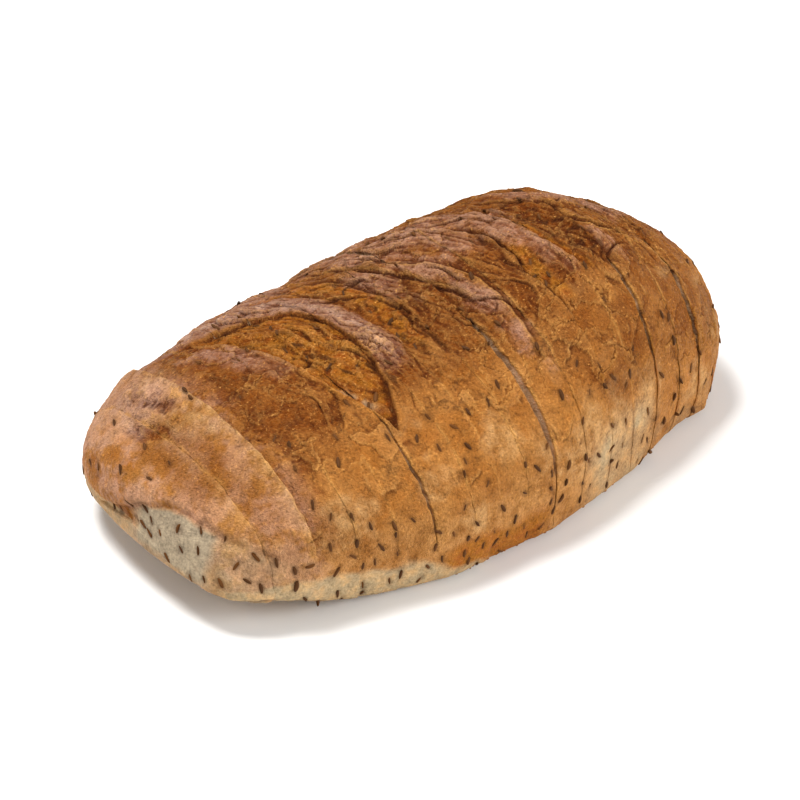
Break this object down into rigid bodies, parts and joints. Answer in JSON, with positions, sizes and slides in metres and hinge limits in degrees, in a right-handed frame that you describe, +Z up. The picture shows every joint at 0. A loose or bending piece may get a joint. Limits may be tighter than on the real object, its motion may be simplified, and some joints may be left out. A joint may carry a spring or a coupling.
{
  "type": "sliced rye loaf",
  "caption": "Whole oval caraway rye loaf, machine sliced and kept in its shape, with a browned cut crown and a pale flat base.",
  "frame": {"origin": "middle of the flat base of the loaf, on the surface it stands on", "axes": "+X along the length from the low wide heel to the taller far heel, +Z up"},
  "size_m": [0.2585, 0.1544, 0.0824],
  "materials": {
    "bread": "matte"
  },
  "bodies": {
    "root": {"heel_slice_01": "bread", "slice_02": "bread", "slice_03": "bread", "slice_04": "bread", "slice_05": "bread", "slice_06": "bread", "slice_07": "bread", "slice_08": "bread", "slice_09": "bread", "slice_10": "bread", "slice_11": "bread", "slice_12": "bread", "slice_13": "bread", "slice_14": "bread", "slice_15": "bread", "slice_16": "bread", "heel_slice_17": "bread"}
  },
  "joints": []
}
